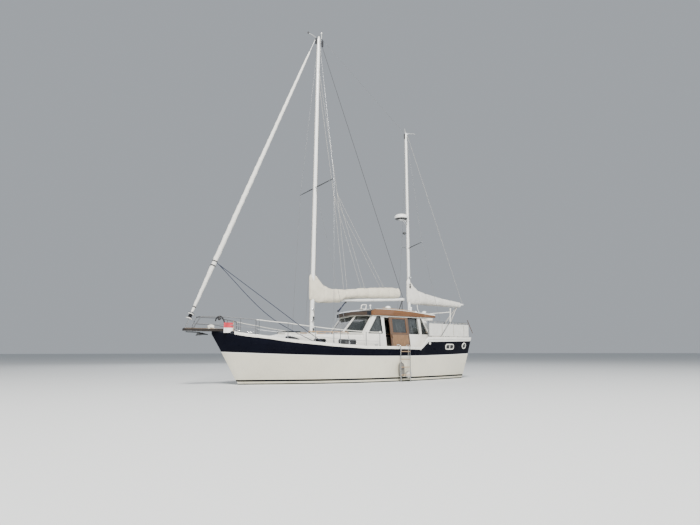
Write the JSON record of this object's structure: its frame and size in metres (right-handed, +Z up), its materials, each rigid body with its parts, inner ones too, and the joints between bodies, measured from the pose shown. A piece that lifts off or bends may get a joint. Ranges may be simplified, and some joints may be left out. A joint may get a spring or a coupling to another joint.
{
  "type": "pilothouse ketch sailing yacht",
  "caption": "Long-keeled pilothouse ketch afloat with furled headsail, covered main and mizzen, sliding saloon doors, bow platform, weather cloths, rudder and propeller.",
  "frame": {"origin": "on the centreline at the waterline, 4.35 m aft of where the stem enters the water", "axes": "+X to the bow, +Y to port, +Z up"},
  "size_m": [11.7855, 3.451, 14.67],
  "materials": {
    "gelcoat": "gloss",
    "white_paint": "satin",
    "teak": "bare",
    "dark_wood": "oiled",
    "varnish": "varnished",
    "steel": "polished",
    "galvanised": "rough",
    "spar_paint": "white enamel",
    "canvas": "woven",
    "sailcloth": "woven",
    "glass": "clear",
    "smoked_acrylic": "smoked",
    "bronze": "cast",
    "black_paint": "satin",
    "bottom_paint": "antifouling",
    "engine_paint": "gloss",
    "upholstery": "woven",
    "fender": "worn"
  },
  "bodies": {
    "boat": {"hull_fore": "gelcoat", "hull_middle": "gelcoat", "hull_stern": "gelcoat", "keel": "gelcoat", "cap_rail": "white_paint", "side_deck": "teak", "aft_deck": "teak", "bow_platform": "dark_wood", "windlass": "white_paint", "bow_anchor": "galvanised", "pulpit": "steel", "guard_rail_port": "steel", "guard_rail_starboard": "steel", "stern_rail": "steel", "weather_cloth": "sailcloth", "boarding_ladder": "steel", "trunk_cabin": "white_paint", "pilothouse_side_port": "white_paint", "pilothouse_side_starboard": "white_paint", "side_glass_fore_port": "glass", "side_glass_fore_starboard": "glass", "side_glass_aft_port": "glass", "side_glass_aft_starboard": "glass", "pilothouse_front": "white_paint", "windshield_port": "glass", "windshield_starboard": "glass", "pilothouse_aft_wall": "white_paint", "pilothouse_roof": "varnish", "saloon_sole": "teak", "engine_block": "engine_paint", "helm_console": "varnish", "helm_seat": "upholstery", "settee": "upholstery", "main_mast": "spar_paint", "mizzen_mast": "spar_paint", "cap_shroud_port": "steel", "cap_shroud_starboard": "steel", "lower_shroud_port": "steel", "lower_shroud_starboard": "steel", "mizzen_shroud_port": "steel", "mizzen_shroud_starboard": "steel", "triatic_stay": "steel", "furled_headsail": "sailcloth", "furler_drum": "black_paint", "radar_scanner": "white_paint", "fender_long": "fender", "fender_ball": "fender"},
    "rudder": {"rudder": "bottom_paint"},
    "propeller": {"propeller": "bronze"},
    "helm": {"helm_wheel": "varnish"},
    "port_door": {"door_port": "varnish", "door_glass_port": "glass"},
    "starboard_door": {"door_starboard": "varnish", "door_glass_starboard": "glass"},
    "fore_hatch": {"fore_hatch": "smoked_acrylic"},
    "aft_hatch": {"aft_hatch": "varnish"},
    "main_boom": {"main_boom": "spar_paint", "main_sail_cover": "canvas"},
    "mizzen_boom": {"mizzen_boom": "spar_paint", "mizzen_sail_cover": "canvas"}
  },
  "joints": [
    {"name": "rudder_turn", "type": "hinge", "parent": "boat", "child": "rudder", "pos_m": [-3.42, 0, -0.5], "axis": [0, 0, 1], "range_deg": [-35, 35]},
    {"name": "helm_turn", "type": "hinge", "parent": "boat", "child": "helm", "pos_m": [-0.225, -0.54, 1.13], "axis": [1, 0, 0], "range_deg": [-430, 430]},
    {"name": "propeller_spin", "type": "hinge", "parent": "boat", "child": "propeller", "pos_m": [-3.13, 0, -0.8], "axis": [1, 0, 0], "continuous": true},
    {"name": "port_door_slide", "type": "slide", "parent": "boat", "child": "port_door", "axis": [-1, 0, 0], "range_m": [-0.22, 0.62]},
    {"name": "starboard_door_slide", "type": "slide", "parent": "boat", "child": "starboard_door", "axis": [-1, 0, 0], "range_m": [0, 0.84]},
    {"name": "fore_hatch_lift", "type": "hinge", "parent": "boat", "child": "fore_hatch", "pos_m": [2.892, 0, 1.65], "axis": [0, 1, 0], "range_deg": [0, 90]},
    {"name": "aft_hatch_lift", "type": "hinge", "parent": "boat", "child": "aft_hatch", "pos_m": [-3.285, 0, 1.4983], "axis": [0, 1, 0], "range_deg": [0, 90]},
    {"name": "main_boom_swing", "type": "hinge", "parent": "boat", "child": "main_boom", "pos_m": [1.58, 0, 2.775], "axis": [0, 0, 1], "range_deg": [-60, 60]},
    {"name": "mizzen_boom_swing", "type": "hinge", "parent": "boat", "child": "mizzen_boom", "pos_m": [-2.785, 0, 2.935], "axis": [0, 0, 1], "range_deg": [-60, 60]}
  ],
  "couplings": [
    {"joint": "helm_turn", "follows": "rudder_turn", "ratio": 12}
  ]
}
